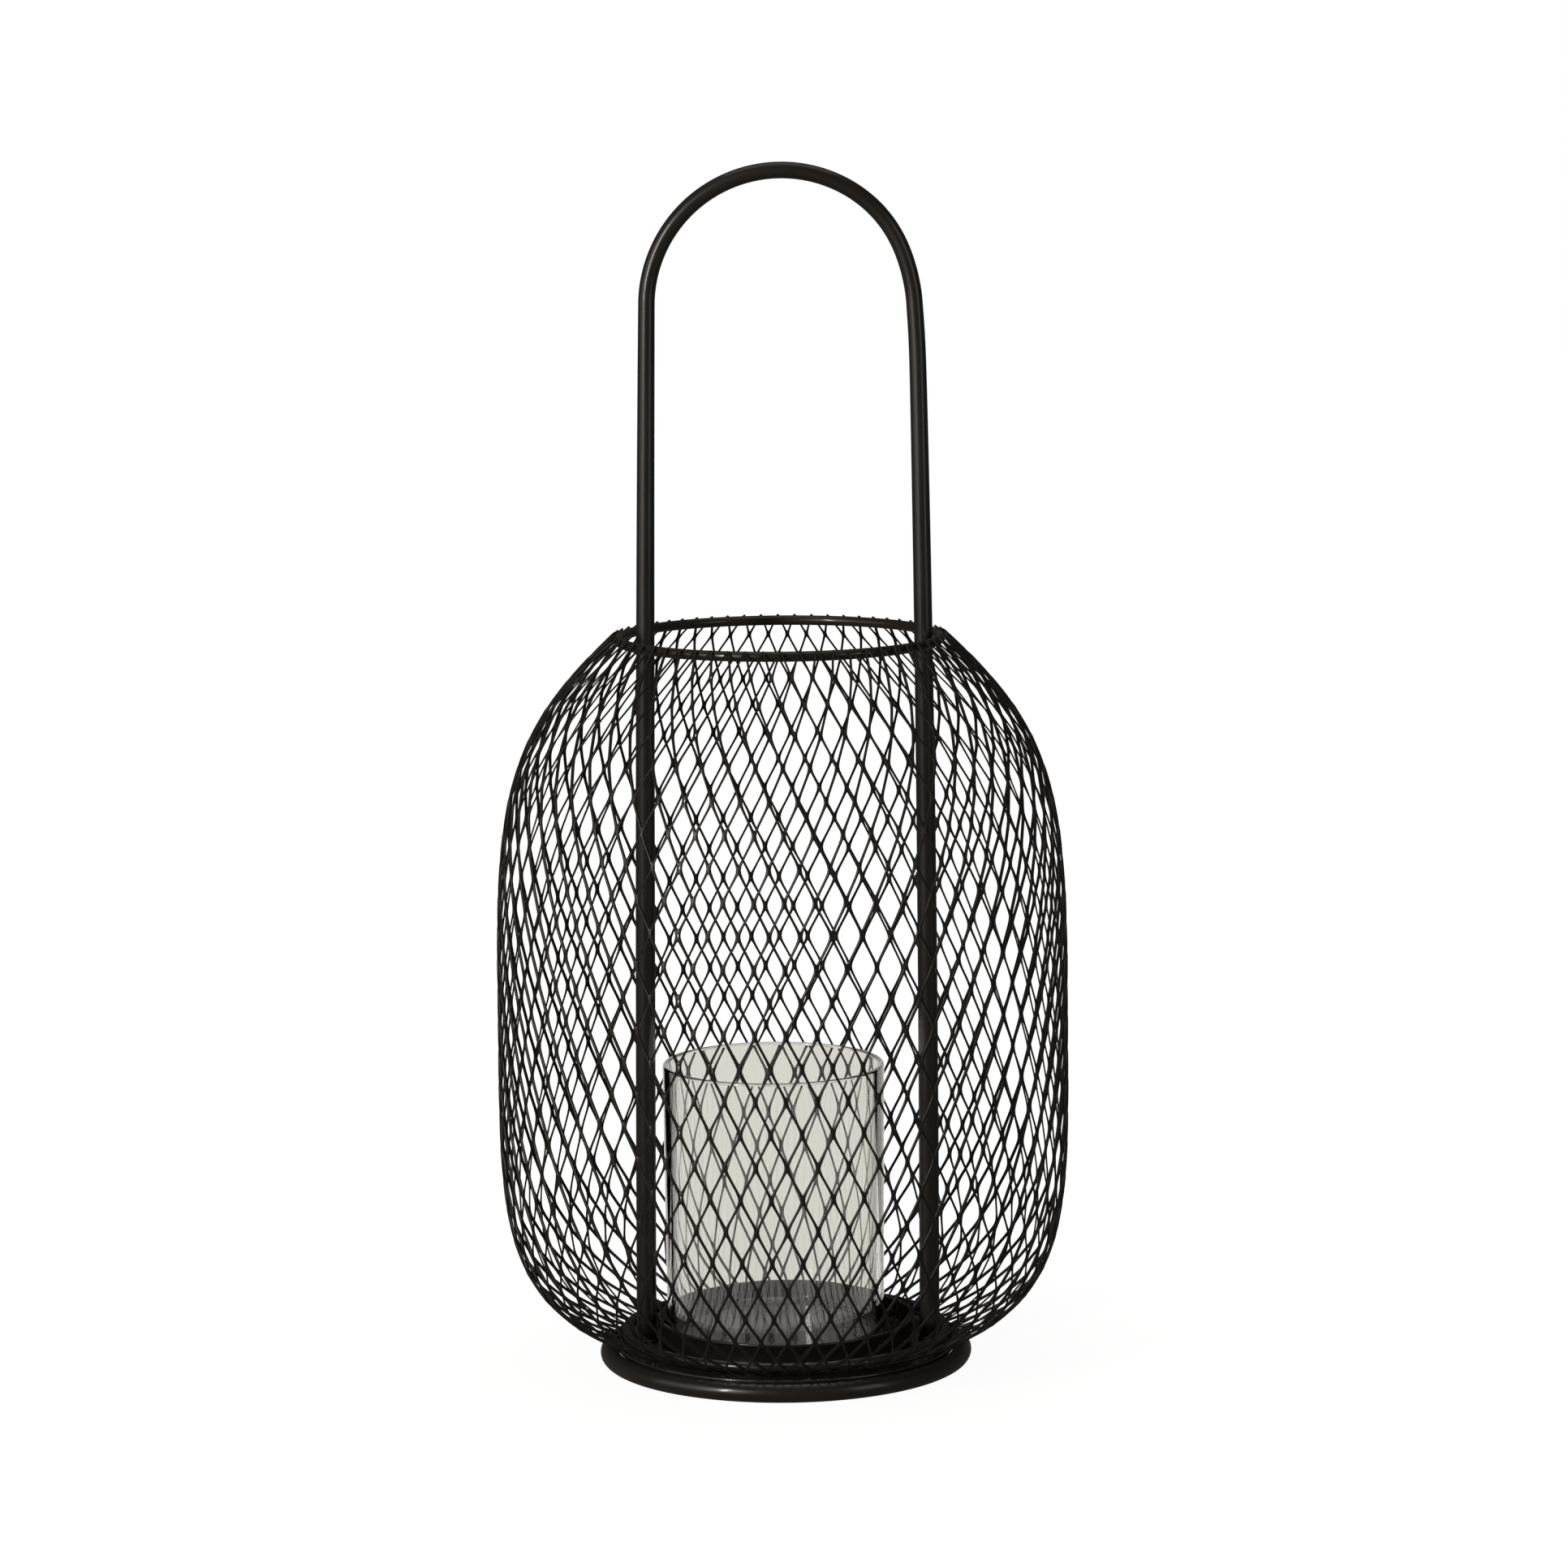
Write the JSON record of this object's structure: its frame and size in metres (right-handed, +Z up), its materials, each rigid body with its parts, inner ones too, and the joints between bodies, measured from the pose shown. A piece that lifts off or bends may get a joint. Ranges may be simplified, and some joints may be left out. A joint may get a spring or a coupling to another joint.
{
  "type": "mesh candle lantern",
  "caption": "Barrel-shaped lantern of black expanded-metal mesh with a tall fixed bail, a round foot, a candle pan and a loose clear glass cylinder.",
  "frame": {"origin": "centre of the foot ring, on the surface the lantern stands on", "axes": "+Z up, along the lantern's height; +X to the right along the plane of the bail; the front faces -Y"},
  "size_m": [0.2574, 0.2574, 0.5404],
  "materials": {
    "black_paint": "satin black powder coat",
    "zinc_steel": "zinc plated",
    "clear_glass": "clear, fire-polished rim"
  },
  "bodies": {
    "lantern": {"foot_ring": "black_paint", "base_plate": "black_paint", "candle_pan": "black_paint", "top_ring": "black_paint", "lower_ring": "black_paint", "mesh_upper_01": "black_paint", "mesh_upper_02": "black_paint", "mesh_upper_03": "black_paint", "mesh_upper_04": "black_paint", "mesh_upper_05": "black_paint", "mesh_upper_06": "black_paint", "mesh_upper_07": "black_paint", "mesh_upper_08": "black_paint", "mesh_upper_09": "black_paint", "mesh_upper_10": "black_paint", "mesh_upper_11": "black_paint", "mesh_upper_12": "black_paint", "mesh_lower_01": "black_paint", "mesh_lower_02": "black_paint", "mesh_lower_03": "black_paint", "mesh_lower_04": "black_paint", "mesh_lower_05": "black_paint", "mesh_lower_06": "black_paint", "mesh_lower_07": "black_paint", "mesh_lower_08": "black_paint", "mesh_lower_09": "black_paint", "mesh_lower_10": "black_paint", "mesh_lower_11": "black_paint", "mesh_lower_12": "black_paint", "bail": "black_paint", "leg_insert_left": "zinc_steel", "leg_insert_right": "zinc_steel", "leg_washer_left": "zinc_steel", "leg_washer_right": "zinc_steel", "leg_screw_left": "zinc_steel", "leg_screw_right": "zinc_steel"},
    "glass": {"glass_cylinder": "clear_glass"}
  },
  "joints": [
    {"name": "glass_lift", "type": "slide", "parent": "lantern", "child": "glass", "axis": [0.02, 0, 0.9998], "range_m": [0, 0.33]}
  ]
}
